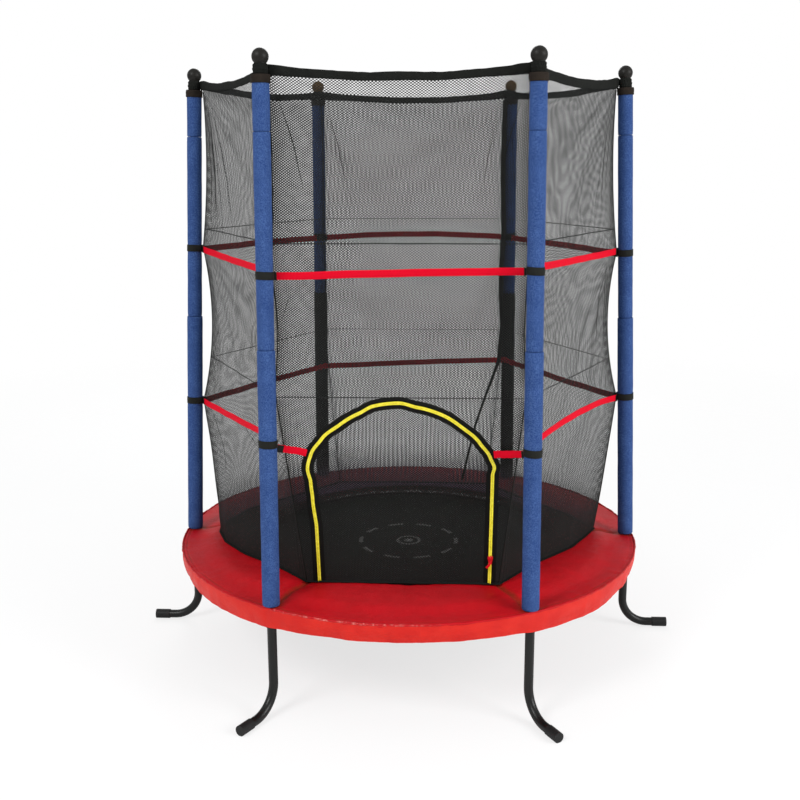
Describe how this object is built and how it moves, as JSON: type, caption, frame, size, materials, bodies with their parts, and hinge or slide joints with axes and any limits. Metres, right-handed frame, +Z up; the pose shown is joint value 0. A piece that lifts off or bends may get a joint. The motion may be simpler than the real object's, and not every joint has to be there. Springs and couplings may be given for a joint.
{
  "type": "children's trampoline with net enclosure",
  "caption": "Round children's trampoline with bent tube legs, a red padded edge, foam-covered poles with ball caps, and a black net enclosure with red straps and an arched zip door.",
  "frame": {"origin": "on the floor under the middle of the mat", "axes": "+Z up, the door faces -Y, +X to the right of someone who faces the door"},
  "size_m": [1.6386, 1.4336, 1.7103],
  "materials": {
    "black_tube": "satin powder coat",
    "black_plastic": "satin moulded",
    "zinc": "zinc plated",
    "pole_tube": "satin powder coat",
    "cap_plastic": "smooth moulded",
    "foam_blue": "soft skinned foam",
    "foam_black": "soft skinned foam",
    "mat_fabric": "tight plain weave",
    "black_webbing": "woven webbing",
    "elastic": "woven elastic",
    "red_pvc": "coated cloth, lightly wrinkled",
    "pad_filling": "open foam",
    "net_black": "fine open mesh",
    "red_webbing": "woven webbing",
    "zip_yellow": "moulded teeth",
    "zip_red": "smooth moulded"
  },
  "bodies": {
    "frame": {"frame_arc_1": "black_tube", "frame_arc_2": "black_tube", "frame_arc_3": "black_tube", "frame_arc_4": "black_tube", "frame_arc_5": "black_tube", "frame_arc_6": "black_tube", "leg_1": "black_tube", "leg_2": "black_tube", "leg_3": "black_tube", "leg_4": "black_tube", "leg_5": "black_tube", "leg_6": "black_tube", "foot_caps": "black_plastic", "frame_screws": "zinc", "lower_pole_1": "pole_tube", "lower_pole_2": "pole_tube", "lower_pole_3": "pole_tube", "lower_pole_4": "pole_tube", "lower_pole_5": "pole_tube", "lower_pole_6": "pole_tube", "upper_pole_1": "pole_tube", "upper_pole_2": "pole_tube", "upper_pole_3": "pole_tube", "upper_pole_4": "pole_tube", "upper_pole_5": "pole_tube", "upper_pole_6": "pole_tube", "pole_caps": "cap_plastic", "top_foams": "foam_blue", "middle_foams": "foam_blue", "lower_foams": "foam_blue", "lower_foams_back": "foam_black", "elastic_straps": "elastic", "pad_cover": "red_pvc", "pad_foam": "pad_filling", "pad_ties": "black_webbing", "net_right_back": "net_black", "net_back": "net_black", "net_left_back": "net_black", "net_left_front": "net_black", "net_right_front": "net_black", "net_front_lower": "net_black", "net_front_upper": "net_black", "net_top_hem": "black_webbing", "net_bottom_hem": "black_webbing", "net_back_tape": "black_webbing", "hem_loops": "black_webbing", "upper_strap": "red_webbing", "lower_strap": "red_webbing", "strap_bands": "black_webbing", "zip_tape_outer": "black_webbing", "zip_chain_outer": "zip_yellow"},
    "mat": {"jump_mat": "mat_fabric", "mat_hem": "black_webbing", "mat_rings": "zinc"},
    "door": {"door_panel": "net_black", "zip_tape_inner": "black_webbing", "zip_chain_inner": "zip_yellow"},
    "zip_slider": {"zip_slider": "zip_red"},
    "zip_pull": {"zip_pull": "zip_red"}
  },
  "joints": [
    {"name": "mat_bounce", "type": "slide", "parent": "frame", "child": "mat", "axis": [0, 0, -1], "range_m": [0, 0.1], "stiffness_N_per_m": 4000, "springref_m": -0.008, "deforming": ["elastic_straps"]},
    {"name": "door_hinge", "type": "hinge", "parent": "frame", "child": "door", "pos_m": [0, -0.45497, 0.32747], "axis": [-1, 0, 0], "range_deg": [0, 95]},
    {"name": "slider_travel", "type": "slide", "parent": "frame", "child": "zip_slider", "axis": [0, -0.1738, 0.9848], "range_m": [-0.045, 0.23]},
    {"name": "pull_swing", "type": "hinge", "parent": "zip_slider", "child": "zip_pull", "pos_m": [0.238, -0.47864, 0.40575], "axis": [-1, 0, 0], "range_deg": [-5, 120]}
  ]
}
